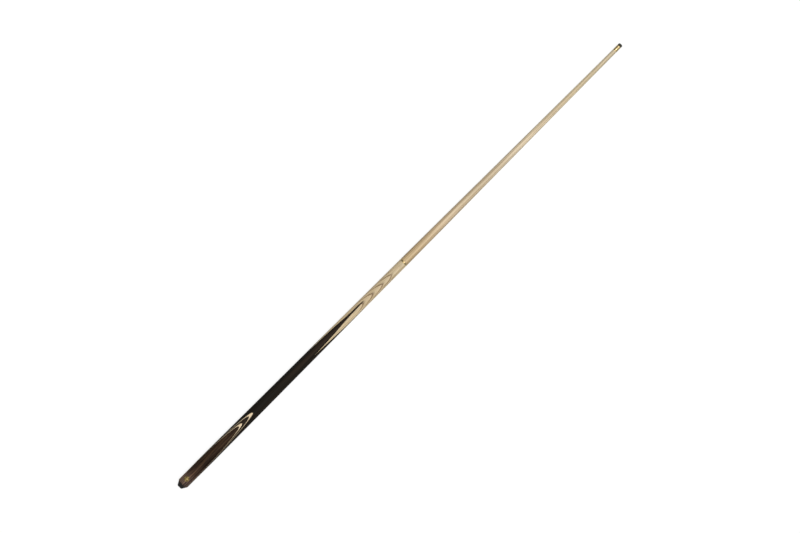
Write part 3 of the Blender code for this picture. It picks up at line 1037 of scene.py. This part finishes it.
def make_tip():
    """Leather tip: sides swollen a little by play, and a worn dome."""
    start, end = cad_ends("tip")
    radius = cad_radius("tip", start)
    side_end = start + 0.60 * (end - start)
    base, swelling = 0.965, 0.03
    outline = [(start, 0), (start, 0.955 * radius), (start + 0.25 * MM, base * radius)]
    for share in np.linspace(0.1, 1, 10):
        swollen = base + swelling * math.sin(share * 2.0)
        outline.append((start + share * (side_end - start), radius * swollen))
    top = outline[-1][1]
    rise = end - side_end - 0.05 * MM
    quarter_turn = np.linspace(0, math.pi / 2, 17)
    outline += [(side_end + rise * math.sin(a), top * math.cos(a) ** 0.85) for a in quarter_turn[1:-1]]
    outline.append((side_end + rise, 0))

    def lumps(x, angle):
        place = Vector((x / (2.5 * MM), 1.3 * math.cos(angle), 1.3 * math.sin(angle)))
        return 0.035 * MM * noise.noise(place) + 0.015 * MM * noise.noise(4 * place)

    tip = turned("leather_tip", [(float(x), float(r)) for x, r in outline], relief=lumps)
    settle(tip, "front_half", LEATHER, "leather", "tip")


# ---------------------------------------------------------------- the setting


def make_floor():
    """A wide pale floor under the cue."""
    bm = bmesh.new()
    bmesh.ops.create_grid(bm, x_segments=4, y_segments=4, size=FLOOR_REACH)
    mesh = mesh_of("floor", bm)
    mesh.materials.append(plain_floor())
    floor = placed("floor", mesh)


def make_lights():
    """A wide soft sun over the cue, a little to its near side, and a pale sky."""
    light = bpy.data.lights.new("key", "SUN")
    light.energy = KEY_STRENGTH
    light.angle = KEY_WIDTH
    lamp = placed("key", light)
    lamp.rotation_euler = Vector(KEY_TOWARD).to_track_quat("Z", "Y").to_euler()
    world = bpy.data.worlds.new("studio")
    world.use_nodes = True
    background = world.node_tree.nodes["Background"].inputs
    background["Color"].default_value = WHITE
    background["Strength"].default_value = SKY_STRENGTH
    bpy.context.scene.world = world
    bpy.context.scene.view_settings.view_transform = "Standard"


def make_camera():
    """A long lens above the cue, leant a little to its near side, with the cue rising to the right."""
    lens = bpy.data.cameras.new("camera")
    lens.lens = LENS
    lens.clip_end = FARTHEST
    camera = placed("camera", lens)
    along = CUE.col[0].to_3d()
    back = (CUE @ Matrix.Rotation(math.radians(CAMERA_LEAN), 4, "X")).col[2].to_3d()
    across = along.cross(back)
    roll = math.radians(CAMERA_ROLL)
    right = math.cos(roll) * along + math.sin(roll) * across
    up = math.sin(roll) * along - math.cos(roll) * across
    middle = CUE @ Vector((cad_ends("tip")[1] / 2, 0, 0))
    target = middle + FRAMING[0] * right + FRAMING[1] * up
    distance = VIEW_WIDTH * LENS / lens.sensor_width
    facing = Matrix((right, up, back)).transposed().to_4x4()
    camera.matrix_world = Matrix.Translation(target + distance * back) @ facing
    bpy.context.scene.camera = camera


ASH_BACK = ash(
    "ash_back",
    tilt=RING_DISTANCE / ARROW_SPACING,
    spacing=RING_DISTANCE,
    phase=arrow_phase(),
    tones=ASH_TONES_BACK,
    reach=ARROWS_REACH,
    strength=1.0,
    seed=0.35,
)
# The shaft's ash has painted shade across it, darker at its edges.
ASH_FRONT = ash(
    "ash_front",
    tilt=SHAFT_RING_SLOPE,
    spacing=SHAFT_RING_DISTANCE,
    phase=SHAFT_RING_SHIFT,
    tones=ASH_TONES_FRONT,
    reach=SHAFT_GRAIN_REACH,
    strength=0.5,
    seed=0.1,
    sides=SHAFT_SIDES,
)
EBONY = dark_wood("ebony", EBONY_SHADES, streak_depth=0.25, bands=(3, 120))
ROSEWOOD = dark_wood("rosewood", ROSEWOOD_SHADES, streak_depth=0.30, bands=(4, 330), tones=ROSEWOOD_TONES)
BLACK = dark_wood("black_veneer", EBONY_SHADES, streak_depth=0.15, bands=(8, 90))
PALE = pale_veneer()
BRASS = turned_metal("brass", clean=(0.50, 0.39, 0.20), tarnish=(0.24, 0.185, 0.09), lines=5200)
STEEL = turned_metal("steel", clean=(0.60, 0.60, 0.61), tarnish=(0.30, 0.28, 0.25), lines=3000)
BADGE = badge_metal()
LEATHER = leather()
RUBBER = rubber()

make_butt_wood()
make_badge()
make_foot()
make_washer()
make_screw()
make_joint()
make_shaft()
make_ferrule()
make_tip()
frame["nodes"]["balance_weight"].data.materials[0] = STEEL
frame["nodes"]["weight_plug"].data.materials[0] = EBONY
make_floor()
make_lights()
make_camera()
